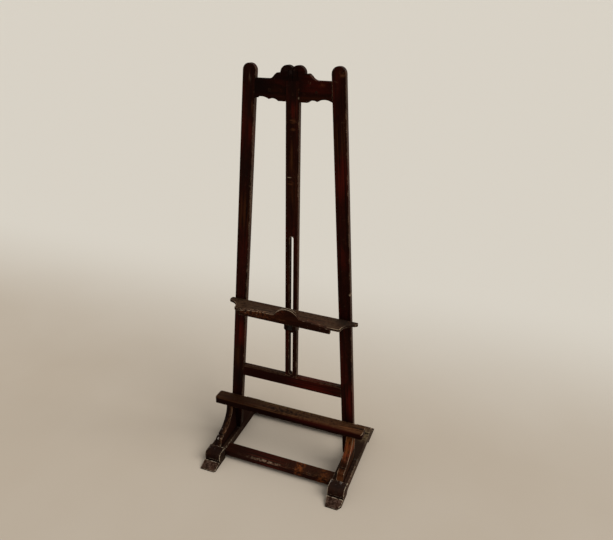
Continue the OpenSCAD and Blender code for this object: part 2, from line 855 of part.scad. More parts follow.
// Two round wings on a tapered boss
module wing_nut() color(steel) in_frame() translate([0, nut_front, bolt_v]) rotate([-90, 0, 0])
    difference() {
        union() {
            cylinder(h = nut_h, d1 = 18, d2 = 14);
            translate([0, 2, 0]) rotate([90, 0, 0]) linear_extrude(4) for (side = [-1, 1]) {
                polygon([[side * 5, 1], [side * 9, 1], [side * 22, 12], [side * 11, 18],
                    [side * 5, 9]]);
                translate([side * 17, 15]) circle(6.5);
            }
        }
        translate([0, 0, -1]) cylinder(h = nut_h + 20, d = bolt_d + 2 * peg_gap);
    }

left_upright();
right_upright();
centre_post();
crest_rail();
lower_rail();
lower_ledge();
left_foot();
right_foot();
front_stretcher();
rear_stretcher();
left_brace();
right_brace();
crest_plugs();
crest_pegs();
rail_pegs();
post_pegs();
upright_foot_pegs();
stretcher_pegs();
brace_dowels();
brace_screws();
ledge_screws();
shelf_board();
shelf_lip();
shelf_block();
slot_key();
shelf_screws();
lip_brads();
clamp_bolt();
clamp_plate();
clamp_washer();
wing_nut();
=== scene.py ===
"""Leaning wooden display easel: camera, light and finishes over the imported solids. Metres, +Z up."""
import math

import bpy
from mathutils import Matrix, Vector


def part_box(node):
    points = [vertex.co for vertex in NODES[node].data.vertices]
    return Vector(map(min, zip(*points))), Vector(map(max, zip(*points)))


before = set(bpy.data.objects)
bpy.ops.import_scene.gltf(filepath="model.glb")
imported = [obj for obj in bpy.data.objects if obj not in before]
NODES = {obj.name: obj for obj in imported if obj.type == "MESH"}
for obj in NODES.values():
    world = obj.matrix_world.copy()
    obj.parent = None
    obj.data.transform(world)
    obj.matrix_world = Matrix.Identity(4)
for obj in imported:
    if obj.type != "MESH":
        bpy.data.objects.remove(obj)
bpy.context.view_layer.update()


# ---------------------------------------------------------------- node trees

MIX_SHARE, MIX_FIRST, MIX_SECOND = 0, 6, 7      # the inputs that a Mix node has for colours
MIX_RESULT = 2
OPEN_SAMPLES, EDGE_SAMPLES, SOFT_SAMPLES = 6, 6, 4


class Tree:
    """A material's node tree, with short calls for the few node kinds used here."""

    def __init__(self, name):
        self.material = bpy.data.materials.new(name)
        self.material.use_nodes = True
        self.nodes = self.material.node_tree.nodes
        self.links = self.material.node_tree.links
        self.nodes.clear()
        output = self.add("OutputMaterial")
        self.shader = self.add("BsdfPrincipled")
        self.links.new(self.shader.outputs["BSDF"], output.inputs["Surface"])
        self.place = self.add("TexCoord").outputs["Object"]
        self.matt = None        # where a mark on the sides has taken the gloss away
        self.normal = self.add("NewGeometry").outputs["Normal"]

    def add(self, kind, settings=None, **inputs):
        node = self.nodes.new("ShaderNode" + kind)
        for key, value in (settings or {}).items():
            setattr(node, key, value)
        for key, value in inputs.items():
            self.put(node.inputs[key.replace("_", " ")], value)
        return node

    def put(self, socket, value):
        if isinstance(value, bpy.types.NodeSocket):
            self.links.new(value, socket)
        else:
            socket.default_value = value

    def maths(self, operation, first, second=0.0, third=0.0):
        node = self.add("Math", {"operation": operation})
        for socket, value in zip(node.inputs, (first, second, third)):
            self.put(socket, value)
        return node.outputs[0]

    def times(self, *values):
        result = values[0]
        for value in values[1:]:
            result = self.maths("MULTIPLY", result, value)
        return result

    def either(self, *values):
        result = values[0]
        for value in values[1:]:
            result = self.maths("MAXIMUM", result, value)
        return result

    def more(self, value, factor, base):
        """base, and a share of another value on top of it."""
        return self.maths("MULTIPLY_ADD", value, factor, base)

    def fade(self, value, low, high):
        """0 at low and 1 at high, smooth between and flat outside; low may be the larger."""
        node = self.add("MapRange", {"interpolation_type": "SMOOTHSTEP"}, Value=value)
        node.inputs["From Min"].default_value = low
        node.inputs["From Max"].default_value = high
        return node.outputs["Result"]

    def mix(self, share, first, second):
        node = self.add("Mix", {"data_type": "RGBA", "clamp_factor": True})
        for socket, value in ((MIX_SHARE, share), (MIX_FIRST, first), (MIX_SECOND, second)):
            self.put(node.inputs[socket], value)
        return node.outputs[MIX_RESULT]

    def scaled(self, vector, scale, location=(0, 0, 0), turn=(0, 0, 0)):
        node = self.add("Mapping", Vector=vector, Scale=scale, Location=location, Rotation=turn)
        return node.outputs[0]

    def noise(self, vector, scale=1.0, detail=2.0, rough=0.5, sway=0.0):
        node = self.add("TexNoise", Vector=vector, Scale=scale, Detail=detail, Roughness=rough,
                        Distortion=sway)
        return node.outputs["Fac"]

    def vector(self, operation, *values):
        node = self.add("VectorMath", {"operation": operation})
        for socket, value in zip(node.inputs, values):
            self.put(socket, value)
        return node.outputs["Value" if operation in ("DOT_PRODUCT", "LENGTH") else "Vector"]

    def facing(self, axis):
        """How far the surface faces an axis of the row frame, -1 to 1."""
        return self.vector("DOT_PRODUCT", self.normal, axis)

    def spot(self, centre, reach, soft):
        """1 at the centre of an ellipsoid, 0 outside it; soft is the share of the reach that fades."""
        away = self.vector("DIVIDE", self.vector("SUBTRACT", self.place, centre), reach)
        return self.fade(self.vector("LENGTH", away), 1.0, 1.0 - soft)

    def openness(self, reach):
        """1 where nothing stands within the reach, less in corners and under other pieces."""
        return self.add("AmbientOcclusion", {"samples": OPEN_SAMPLES}, Distance=reach).outputs["AO"]

    def rounded(self, radius, samples):
        """The surface's direction, as if its edges were rounded to a radius."""
        return self.add("Bevel", {"samples": samples}, Radius=radius).outputs[0]

    def relief(self, height, strength, depth, radius):
        """Bump over slightly rounded edges."""
        soft = self.rounded(radius, SOFT_SAMPLES)
        bump = self.add("Bump", Strength=strength, Distance=depth, Height=height, Normal=soft)
        self.put(self.shader.inputs["Normal"], bump.outputs[0])


def rgb(red, green, blue):
    """A colour given as sRGB 0-255, as the linear RGBA that a socket holds."""
    def linear(value):
        value /= 255
        return value / 12.92 if value <= 0.04045 else ((value + 0.055) / 1.055) ** 2.4
    return (linear(red), linear(green), linear(blue), 1.0)


def darker(colour, share):
    return tuple(share * c for c in colour[:3]) + (1,)


# --------------------------------------------------------------------- woods

SEED_STEPS, SEED_RANGE = (1.37, 2.11, 0.73), 5      # how far a seed moves the grain in x, y and z
PITH = (0.09, 0.16)                                 # metres from the piece to the middle of its rings
RING_SWAY = (0.055, 0.055, 0.0)
LATE_WOOD = 2.5                                     # the higher, the thinner the dark line of a ring
CORNER_SHADE, CREASE_REACH = 0.03, 0.006
CALM_FADE = 0.25
WOOD_TINT = (1.0, 0.5, 0.34, 1)                     # the varnish reflects warm
SPECKLE = 0.16                                      # how much the roughness varies from spot to spot
WOOD_SOFT, WOOD_RELIEF = 0.0012, 0.0006


def grain_fields(t, along, seed, rings):
    """The patterns, 0 to 1, that every wood is mixed from. A scale is in cells a metre; the grain
    runs along z, so its scales are across, across and along."""
    turn = Vector(along).to_track_quat("Z", "Y").inverted().to_euler()
    shift = tuple(seed * step % SEED_RANGE for step in SEED_STEPS)
    grain = t.scaled(t.place, (1, 1, 1), shift, turn)

    # year rings round a pith beside the piece, pulled about by slow sway along the grain
    sway = t.add("TexNoise", Vector=t.scaled(grain, (9, 9, 1.6)), Scale=1.0, Detail=2.0)
    centred = t.vector("SUBTRACT", sway.outputs["Color"], (0.5, 0.5, 0.5))
    pulled = t.vector("MULTIPLY_ADD", centred, RING_SWAY, grain)
    flat = t.vector("MULTIPLY", pulled, (1, 1, 0))
    pith = (shift[0] + PITH[0], shift[1] + PITH[1], 0)
    away = t.vector("LENGTH", t.vector("SUBTRACT", flat, pith))
    late = t.maths("POWER", t.maths("FRACT", t.times(away, rings)), LATE_WOOD)

    return dict(
        grain=grain, late=late,
        fibre=t.noise(t.scaled(grain, (700, 700, 14)), detail=3, rough=0.65),
        streak=t.noise(t.scaled(grain, (150, 150, 3.5)), detail=3, rough=0.6, sway=0.3),
        band=t.noise(t.scaled(grain, (55, 55, 2.2), (0.3, 0.7, 0.1)), detail=2, rough=0.55),
        pores=t.fade(t.noise(t.scaled(grain, (1500, 1500, 60)), detail=1), 0.60, 0.70),
        patch=t.noise(t.scaled(grain, (14, 14, 4.5)), detail=4, rough=0.6, sway=0.6),
        cloud=t.noise(t.scaled(t.place, (26, 26, 26), (seed, 0, 0)), detail=5, rough=0.7),
        mottle=t.noise(t.scaled(t.place, (90, 90, 90), (0, seed, 0)), detail=4, rough=0.75),
        fine=t.noise(t.scaled(t.place, (240, 240, 240)), detail=3, rough=0.7))


def stained(t, f, deep, mid, warm, brown, blotch, ring_depth):
    """The colour of the stain alone."""
    colour = t.mix(t.fade(f["streak"], 0.30, 0.70), deep, mid)
    colour = t.mix(t.times(t.fade(f["patch"], 0.48, 0.62), blotch), colour, warm)
    thin = t.times(t.fade(f["patch"], 0.47, 0.34), t.fade(f["band"], 0.40, 0.62), blotch)
    colour = t.mix(thin, colour, brown)
    colour = t.mix(t.times(t.fade(f["band"], 0.52, 0.66), 0.55), colour, deep)
    colour = t.mix(t.times(f["late"], ring_depth), colour, deep)
    colour = t.mix(t.times(t.fade(f["fibre"], 0.45, 0.8), 0.30), colour, warm)
    colour = t.mix(t.times(t.fade(f["mottle"], 0.56, 0.72), 0.45), colour, brown)
    colour = t.mix(t.times(t.fade(f["mottle"], 0.46, 0.32), 0.60), colour, deep)
    return t.mix(t.times(f["pores"], 0.5), colour, deep)


def wood(name, along, seed, deep, mid, warm, brown, worn, dust, *, rings=85.0, ring_depth=0.5,
         blotch=0.6, edge=1.0, edge_reach=0.005, breaks=0.50, painted_side_light=0.0, top=None, top_share=0.0,
         top_dust=0.0, all_dust=0.0, hollow_shade_and_rust=0.8, shade=CORNER_SHADE, fold_shade=0.0, scuffs=0.2,
         rough=0.5, gloss=0.045, bump=0.5, calm=None, extra=None):
    """Old stained wood. along is the grain's direction; the colours run from the deepest stain to
    bare worn wood and dust. rings is in rings a metre. edge is how strongly edges are rubbed,
    edge_reach how far in, and breaks how much of them is left whole. flank is painted light, which
    lightens the faces that look sideways; top is the colour of the faces that look up, and
    calm is a place and reach where edges aren't rubbed. grime paints shade over what lies within
    shade of another surface, crease paints shade into the narrow folds. extra(t, colour, fields)
    adds a piece's own marks and returns the new colour."""
    t = Tree(name)
    f = grain_fields(t, along, seed, rings)     # the fields by name; extra may use any of them
    colour = stained(t, f, deep, mid, warm, brown, blotch, ring_depth)

    # rubbed edges, light scuffs across the grain, dust that settles, painted shade in the corners
    open_air = t.openness(shade)
    bent = t.vector("DOT_PRODUCT", t.rounded(edge_reach, EDGE_SAMPLES), t.normal)
    f["arris"] = t.fade(bent, 0.985, 0.86)
    ragged = t.noise(t.scaled(t.place, (48, 48, 30), (0, 0, seed)), detail=5, rough=0.72, sway=0.4)
    broken = t.maths("ADD", t.times(f["cloud"], 0.35), t.times(ragged, 0.65))
    broken = t.fade(broken, breaks - 0.03, breaks + 0.10)
    rubbed = t.times(f["arris"], broken, t.fade(open_air, 0.45, 0.9), edge)
    if calm:
        rubbed = t.times(rubbed, t.maths("SUBTRACT", 1.0, t.spot(*calm, CALM_FADE)))
    f["crossing"] = t.noise(t.scaled(f["grain"], (30, 30, 260)), detail=2, rough=0.6, sway=0.8)
    scuffed = t.times(t.fade(f["crossing"], 0.64, 0.72), t.fade(f["cloud"], 0.50, 0.62), scuffs)
    up = t.fade(t.facing((0, 0, 1)), 0.35, 0.85)
    f["front"] = t.fade(t.facing((0, -1, 0)), 0.55, 0.9)
    f["sideways"] = t.fade(t.maths("ABSOLUTE", t.facing((1, 0, 0))), 0.70, 0.97)
    settled = t.times(up, top_dust, t.fade(f["mottle"], 0.30, 0.62))
    clinging = t.times(t.fade(f["fine"], 0.35, 0.75), t.fade(f["cloud"], 0.35, 0.7), all_dust)
    dusty = t.maths("ADD", settled, clinging)
    painted_corner_shade = t.times(t.fade(open_air, 0.75, 0.25), hollow_shade_and_rust)
    f["chips"] = t.times(f["arris"], t.fade(f["mottle"], 0.46, 0.56))

    # painted light: the faces that look sideways are lightened
    if painted_side_light:
        side_lit_tone = t.mix(t.fade(f["streak"], 0.35, 0.65), brown, darker(worn, 0.45))
        colour = t.mix(t.times(f["sideways"], t.fade(f["fine"], 0.25, 0.65), painted_side_light), colour, side_lit_tone)
    if top:
        bared = t.maths("ADD", t.times(f["streak"], 0.5), t.times(f["mottle"], 0.5))
        colour = t.mix(t.times(up, t.fade(bared, 0.40, 0.55), top_share), colour, top)
    colour = t.mix(dusty, colour, dust)
    colour = t.mix(t.either(rubbed, scuffed), colour, worn)
    if extra:
        colour = extra(t, colour, f)
    # painted shade: darker where other surfaces stand close
    colour = t.mix(painted_corner_shade, colour, darker(deep, 0.5))
    # painted shade in the narrow folds and carved grooves
    if fold_shade:
        painted_fold_shade = t.times(t.fade(t.openness(CREASE_REACH), 0.88, 0.60), fold_shade)
        colour = t.mix(painted_fold_shade, colour, darker(deep, 0.3))
    t.put(t.shader.inputs["Base Color"], colour)

    dull = t.more(f["fine"], SPECKLE, rough - SPECKLE / 2)
    dull = t.more(t.fade(f["patch"], 0.35, 0.7), 0.10, dull)
    dull = t.more(dusty, 0.30, dull)
    dull = t.more(rubbed, 0.12, dull)
    if t.matt:
        dull = t.either(dull, t.matt)
    t.put(t.shader.inputs["Roughness"], dull)
    t.shader.inputs["Specular IOR Level"].default_value = gloss
    t.shader.inputs["Specular Tint"].default_value = WOOD_TINT

    height = t.times(f["fibre"], 0.5)
    for field, factor in (("late", 0.5), ("pores", -0.9), ("cloud", 1.6), ("crossing", -0.4)):
        height = t.more(f[field], factor, height)
    t.relief(height, bump, WOOD_RELIEF, WOOD_SOFT)
    return t.material


# -------------------------------------------------------------------- metals

RUST_STEP = 0.3         # how far rustiness moves the value from which rust shows
METAL_SOFT, METAL_RELIEF, METAL_BUMP = 0.0006, 0.0003, 0.4


def metal(name, bright, rust, seed, rusty, rough):
    """Old steel: a dull turned surface with fine scratches and rust creeping over it."""
    t = Tree(name)
    place = t.scaled(t.place, (1, 1, 1), (seed, 0, 0))
    cloud = t.noise(t.scaled(place, (160, 160, 160)), detail=5, rough=0.7)
    fine = t.noise(t.scaled(place, (1500, 1500, 1500)), detail=3, rough=0.7)
    scratch = t.noise(t.scaled(place, (2600, 90, 2600)), detail=2)
    hollow_shade_and_rust = t.fade(t.openness(CREASE_REACH), 0.8, 0.35)
    creeping = t.fade(cloud, 0.66 - RUST_STEP * rusty, 0.80 - RUST_STEP * rusty)
    spread = t.either(creeping, t.times(hollow_shade_and_rust, 0.8))
    colour = t.mix(t.times(t.fade(scratch, 0.45, 0.7), 0.35), bright, darker(bright, 0.5))
    colour = t.mix(spread, colour, t.mix(fine, rust, darker(rust, 0.35)))
    t.put(t.shader.inputs["Base Color"], colour)
    t.put(t.shader.inputs["Metallic"], t.maths("SUBTRACT", 1.0, t.times(spread, 0.9)))
    t.put(t.shader.inputs["Roughness"], t.more(spread, 0.4, t.more(fine, 0.2, rough)))
    t.relief(t.more(cloud, 1.0, t.times(fine, 0.6)), METAL_BUMP, METAL_RELIEF, METAL_SOFT)
    return t.material


def dress(name, material):
    piece = NODES[name]
    piece.data.materials.clear()
    piece.data.materials.append(material)


# --------------------------------------------------------------------- marks

WIDE = 300              # mm, a reach that goes right through most pieces from front to back
TALL = 400              # mm, and one that takes in the whole of a brace
MARK_FADE = 0.8
MM_PER_METRE = 1000


class Mark:
    """One mark of use on one piece, an ellipsoid of another tone. at is its centre, in shares of the
    piece's box in x, y and z, and reach is in mm. where names a field of wood() and the two values
    between which the mark comes in."""

    def __init__(self, at, reach, tone, strength, where=None):
        self.at = at
        self.reach = tuple(r / MM_PER_METRE for r in reach)
        self.tone = tone
        self.strength = strength
        self.where = where


def point(name, at):
    """A point in a node's box, by its shares of the box in x, y and z."""
    low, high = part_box(name)
    return tuple(a + (b - a) * share for a, b, share in zip(low, high, at))


def marks(name, *rows):
    """The extra of wood() that lays a piece's marks one over another."""
    def lay(t, colour, fields):
        for row in rows:
            place = t.spot(point(name, row.at), row.reach, MARK_FADE)
            field, low, high = row.where or (None, 0, 1)
            if field:
                place = t.times(place, t.fade(fields[field], low, high))
            place = t.times(place, row.strength)
            if field == "sideways":
                t.matt = place
            colour = t.mix(place, colour, row.tone)
        return colour
    return lay


# --------------------------------------------------------- grain and palettes

LEAN = math.radians(3.5)        # of the uprights and the post, backwards
UP = Vector((0, math.sin(LEAN), math.cos(LEAN)))
ACROSS = Vector((1, 0, 0))
DEPTH = Vector((0, 1, 0))
RISE = Vector((0, 0, 1))
BRACE_GRAIN = Vector((0, 1, 1.2))
GRAIN_INSET = 0.0205            # metres from the inner edge of an upright's head to its grain line


def splay(side):
    """The grain's direction in an upright, which leans back and in towards the other one."""
    low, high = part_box(side + "_upright")
    sign = -1 if side == "left" else 1
    foot = sign * max(abs(low.x), abs(high.x))
    head = sign * (min(abs(low.x), abs(high.x)) + GRAIN_INSET)
    return Vector((head - foot, 0, 0)) + UP * (high.z - low.z)


# tones that the marks share
RED, ORANGE, EARTH, BLACK = rgb(80, 17, 10), rgb(124, 66, 28), rgb(60, 32, 13), rgb(7, 4, 3)
TAN, PALE = rgb(120, 74, 44), rgb(172, 150, 124)

# palettes, each with the settings that go with it
STAIN = dict(deep=rgb(13, 4, 2), mid=rgb(34, 9, 5), warm=rgb(58, 14, 8), brown=rgb(50, 23, 10),
             worn=rgb(150, 122, 96), dust=rgb(72, 54, 40))
FACE = dict(STAIN, edge=0.9, edge_reach=0.004, painted_side_light=0.6, rough=0.42)
POST = dict(FACE, mid=rgb(44, 15, 8), brown=rgb(58, 28, 12))
LEDGE = dict(STAIN, mid=rgb(32, 10, 6), warm=rgb(56, 20, 10), brown=rgb(50, 26, 13),
             dust=rgb(78, 60, 38))
SHELF = dict(LEDGE, mid=rgb(34, 14, 9), warm=rgb(66, 30, 15), worn=rgb(160, 134, 106),
             dust=rgb(76, 58, 43))
BLOCK = dict(STAIN, mid=rgb(20, 8, 5), worn=TAN)
BASE = dict(LEDGE, deep=rgb(14, 7, 5), mid=rgb(36, 18, 13), warm=rgb(62, 33, 22),
            brown=rgb(54, 35, 23), worn=rgb(176, 150, 122), dust=rgb(76, 58, 44))
BRACE = dict(BASE, deep=rgb(34, 16, 8), mid=rgb(74, 38, 17), warm=rgb(108, 58, 26),
             brown=rgb(84, 53, 28))
DARK_BRACE = dict(BRACE, deep=rgb(16, 8, 5), mid=rgb(34, 17, 10), warm=rgb(60, 33, 18))
PEG = dict(STAIN, deep=rgb(16, 7, 4), mid=rgb(36, 16, 9), warm=rgb(56, 27, 15))
LEDGE_TOP, BOARD_TOP = rgb(66, 42, 25), rgb(66, 47, 33)

# tones that belong to the marks of one piece
SLOT_WALL_SHADE = rgb(34, 14, 7)
LOBE_BLOOM = rgb(46, 38, 36)
RAIL_FRONT_SHADE = rgb(26, 4, 2)
LEDGE_DUST = rgb(84, 68, 42)
LEDGE_FRONT_SHADE = rgb(13, 2, 1)
LEDGE_END = rgb(22, 9, 5)
LEDGE_RED = rgb(52, 13, 9)
BOARD_RED = rgb(70, 26, 18)
BOARD_SMUDGE = rgb(34, 18, 11)
BOARD_EAR_SHADE = rgb(26, 22, 19)
EAR_CHIPS = rgb(84, 76, 62)
LIP_FRONT_SHADE = rgb(26, 8, 4)
LIP_SWELL = rgb(74, 34, 18)
LIP_STREAK = rgb(96, 52, 27)
LIP_CHIPS = rgb(166, 142, 114)
LIP_RIM = rgb(190, 172, 148)
TOE_PALE = rgb(88, 68, 58)
TOE_DARK = rgb(40, 22, 17)
ROLL_SPECKS = rgb(150, 142, 136)
FOOT_CHIPS = rgb(200, 182, 158)
FOOT_ARRIS = rgb(176, 160, 134)
HEEL_DUST = rgb(80, 66, 46)
HEEL_WORN = rgb(112, 94, 68)
FOOT_LINE = rgb(104, 100, 88)
BRACE_LIGHT = rgb(120, 84, 60)
BRACE_DARK = rgb(19, 10, 9)
LEFT_BRACE_SIDE_SHADE = rgb(24, 8, 5)
BRACE_SPECKS = rgb(176, 166, 154)
RIGHT_BRACE_SIDE_SHADE = rgb(26, 14, 9)
BRACE_BARE = rgb(132, 76, 34)
BRACE_RED = rgb(112, 44, 28)
BRACE_SHADE_UNDER_LEDGE = rgb(34, 12, 7)
BAR_GROUND = rgb(36, 9, 5)
BAR_END = rgb(30, 8, 5)
BAR_TOP = rgb(22, 10, 7)
BAR_STREAK = rgb(116, 74, 52)

# ---------------------------------------------------------- uprights and post

dress("left_upright", wood("left_upright_stain", splay("left"), 1, **FACE, rings=90, extra=marks(
    "left_upright",
    # pale scratch down the dome
    Mark((0.84, 0.5, 0.975), (1.6, WIDE, 26), PALE, 0.4, ("fibre", 0.45, 0.6)),
    # a second one beside it
    Mark((0.88, 0.5, 0.965), (1.4, WIDE, 20), PALE, 0.35, ("fibre", 0.45, 0.6)),
    # dry inner edge below the dome
    Mark((0.9, 0.5, 0.9), (2, WIDE, 40), TAN, 0.5, ("streak", 0.4, 0.55)),
    # red beside the crest
    Mark((0.77, 0.5, 0.855), (34, WIDE, 60), RED, 0.35, ("band", 0.4, 0.6)),
    # dark stretch at three quarters of the height
    Mark((0.7, 0.5, 0.76), (34, WIDE, 80), BLACK, 0.5, ("streak", 0.3, 0.6)),
    # earthy stretch
    Mark((0.6, 0.5, 0.66), (40, WIDE, 90), EARTH, 0.6, ("streak", 0.4, 0.6)),
    # red below the shelf
    Mark((0.42, 0.5, 0.33), (34, WIDE, 70), RED, 0.7, ("streak", 0.4, 0.6)),
    # earthy by the rail
    Mark((0.36, 0.5, 0.25), (34, WIDE, 70), EARTH, 0.7, ("band", 0.4, 0.6)),
    # dark just above the ledge
    Mark((0.28, 0.5, 0.185), (40, WIDE, 60), BLACK, 0.55),
    # painted shade on the foot end, below the ledge
    Mark((0.2, 0.5, 0.03), (60, WIDE, 140), BLACK, 0.8))))
dress("right_upright", wood("right_upright_stain", splay("right"), 2, **FACE, rings=90, extra=marks(
    "right_upright",
    # rubbed dome
    Mark((0.25, 0.5, 0.985), (16, WIDE, 14), TAN, 0.3, ("mottle", 0.42, 0.58)),
    # earthy stretch
    Mark((0.27, 0.5, 0.85), (34, WIDE, 80), EARTH, 0.6, ("streak", 0.4, 0.6)),
    # red stretch
    Mark((0.32, 0.5, 0.77), (34, WIDE, 110), RED, 0.5, ("streak", 0.35, 0.6)),
    # pale chip at half height
    Mark((0.66, 0.5, 0.488), (6, WIDE, 5), PALE, 0.5, ("mottle", 0.4, 0.55)),
    # dark below the shelf
    Mark((0.74, 0.5, 0.28), (34, WIDE, 60), BLACK, 0.5, ("band", 0.35, 0.6)),
    # red by the rail
    Mark((0.84, 0.5, 0.19), (34, WIDE, 110), RED, 0.6, ("streak", 0.35, 0.6)),
    # painted shade on the foot end, below the ledge
    Mark((0.9, 0.5, 0.02), (60, WIDE, 90), BLACK, 0.6))))
dress("centre_post", wood(
    "post_stain", UP, 3, **POST, rings=110, hollow_shade_and_rust=0.15,
    calm=(point("centre_post", (0.5, 0.5, 1.0)), (0.06, 0.3, 0.1)), extra=marks(
        "centre_post",
        # rubs across the face
        Mark((0.55, 0.5, 0.89), (15, WIDE, 12), TAN, 0.38, ("crossing", 0.35, 0.6)),
        Mark((0.55, 0.5, 0.865), (13, WIDE, 7), TAN, 0.3, ("crossing", 0.35, 0.6)),
        # earthy streak
        Mark((0.45, 0.5, 0.79), (8, WIDE, 60), EARTH, 0.7, ("streak", 0.4, 0.6)),
        # pale nick
        Mark((0.3, 0.5, 0.723), (11, WIDE, 2.2), PALE, 0.5),
        # rub above the slot
        Mark((0.4, 0.5, 0.706), (17, WIDE, 9), TAN, 0.3, ("crossing", 0.35, 0.6)),
        # red below the crest
        Mark((0.6, 0.5, 0.92), (16, WIDE, 40), RED, 0.5, ("streak", 0.35, 0.6)),
        # dark lap on the crest
        Mark((0.5, 0.5, 1.0), (40, WIDE, 90), BLACK, 0.7),
        # chips on the right arris
        Mark((0.99, 0.5, 0.976), (5, WIDE, 6), TAN, 0.35, ("mottle", 0.4, 0.6)),
        Mark((0.99, 0.5, 0.954), (5, WIDE, 5), PALE, 0.35, ("mottle", 0.4, 0.6)),
        # painted shade on the walls of the slot
        Mark((0.5, 0.5, 0.25), (20, WIDE, 900), SLOT_WALL_SHADE, 0.95, ("sideways", 0.3, 0.7)))))

# ------------------------------------------------------------ crest and rail

dress("crest_rail", wood(
    "crest_stain", ACROSS, 4, **STAIN, fold_shade=0.9, edge=0.35, edge_reach=0.003, top_dust=0.2,
    rough=0.45, gloss=0.03, calm=(point("crest_rail", (0.5, 0.5, 0.35)), (0.05, 0.3, 0.075)),
    extra=marks(
        "crest_rail",
        # red right half
        Mark((0.75, 0.5, 0.45), (75, WIDE, 40), RED, 0.22, ("patch", 0.35, 0.6)),
        # dark left end
        Mark((0.1, 0.5, 0.4), (90, WIDE, 60), BLACK, 0.9),
        # dark left shoulder
        Mark((0.36, 0.5, 0.8), (70, WIDE, 40), BLACK, 0.5),
        # dark behind the lap
        Mark((0.5, 0.5, 0.5), (50, WIDE, 80), BLACK, 0.7),
        # grey bloom on the left lobe
        Mark((0.47, 0.5, 0.85), (30, WIDE, 20), LOBE_BLOOM, 0.35, ("mottle", 0.46, 0.58)),
        # small rub at the right
        Mark((0.8, 0.5, 0.52), (14, WIDE, 8), TAN, 0.18, ("mottle", 0.4, 0.6)))))
dress("lower_rail", wood(
    "rail_stain", ACROSS, 5, **STAIN, edge=0.5, top_dust=0.5, rough=0.42, extra=marks(
        "lower_rail",
        # dark red front: painted shade on the face turned from the light
        Mark((0.35, 0.5, 0.5), (330, WIDE, 100), RAIL_FRONT_SHADE, 0.75, ("front", 0.5, 1.0)),
        # red streaks right of the post
        Mark((0.7, 0.5, 0.5), (140, WIDE, 60), RED, 0.6, ("streak", 0.35, 0.6)))))

# ----------------------------------------------------------- ledge and shelf

dress("lower_ledge", wood(
    "ledge_stain", ACROSS, 6, **LEDGE, breaks=0.48, top=LEDGE_TOP, top_share=0.85, top_dust=0.15,
    gloss=0.03, extra=marks(
        "lower_ledge",
        # streaks along the top's front
        Mark((0.5, 0.22, 0.9), (260, 9, 40), TAN, 0.55, ("streak", 0.42, 0.6)),
        # bare streaks at the right end
        Mark((0.92, 0.35, 0.9), (70, 16, 40), TAN, 0.6, ("streak", 0.42, 0.6)),
        # dust along the back
        Mark((0.5, 0.98, 1.0), (330, 14, 14), LEDGE_DUST, 0.65, ("mottle", 0.35, 0.6)),
        # painted shade on the front
        Mark((0.5, 0.5, 0.5), (600, WIDE, 200), LEDGE_FRONT_SHADE, 0.9, ("front", 0.5, 1.0)),
        # dark left end
        Mark((0.16, 0.5, 0.9), (150, 60, 40), LEDGE_END, 0.7, ("mottle", 0.33, 0.56)),
        # red below the arris
        Mark((0.74, 0.0, 0.78), (230, 14, 16), LEDGE_RED, 0.65, ("streak", 0.3, 0.55)),
        # chips along the arris
        Mark((0.42, 0.12, 0.9), (230, 22, 22), PALE, 0.75, ("chips", 0.0, 0.4)),
        Mark((0.04, 0.12, 0.9), (60, 22, 22), PALE, 0.75, ("chips", 0.0, 0.4)),
        # chipped right corner
        Mark((0.98, 0.12, 0.95), (22, 16, 12), PALE, 0.95, ("arris", 0.0, 0.2)))))
dress("shelf_board", wood(
    "shelf_board_stain", ACROSS, 7, **SHELF, edge_reach=0.004, breaks=0.46, top=BOARD_TOP,
    top_share=0.75, top_dust=0.35, rough=0.55, extra=marks(
        "shelf_board",
        # reddish patch behind the lip
        Mark((0.7, 0.3, 0.5), (60, 20, 60), BOARD_RED, 0.5, ("mottle", 0.44, 0.6)),
        # pale edge by the right ear
        Mark((0.88, 0.15, 0.5), (34, 60, 60), PALE, 0.9, ("arris", 0.02, 0.35)),
        # painted shade by the right upright
        Mark((0.86, 0.95, 0.5), (30, 14, 60), BLACK, 0.4, ("mottle", 0.35, 0.6)),
        # painted shade by the left upright
        Mark((0.06, 1.0, 0.5), (52, 20, 60), BLACK, 0.55, ("mottle", 0.33, 0.56)),
        # smudge at the back, left of the middle
        Mark((0.3, 0.9, 0.5), (90, 26, 60), BOARD_SMUDGE, 0.55, ("mottle", 0.42, 0.58)),
        # painted shade on the right ear, by the upright
        Mark((0.93, 0.8, 0.5), (62, 56, 60), BOARD_EAR_SHADE, 0.9, ("mottle", 0.34, 0.54)),
        # chips on the left ear
        Mark((0.0, 0.6, 0.5), (36, 60, 60), EAR_CHIPS, 0.7, ("chips", 0.0, 0.5)))))
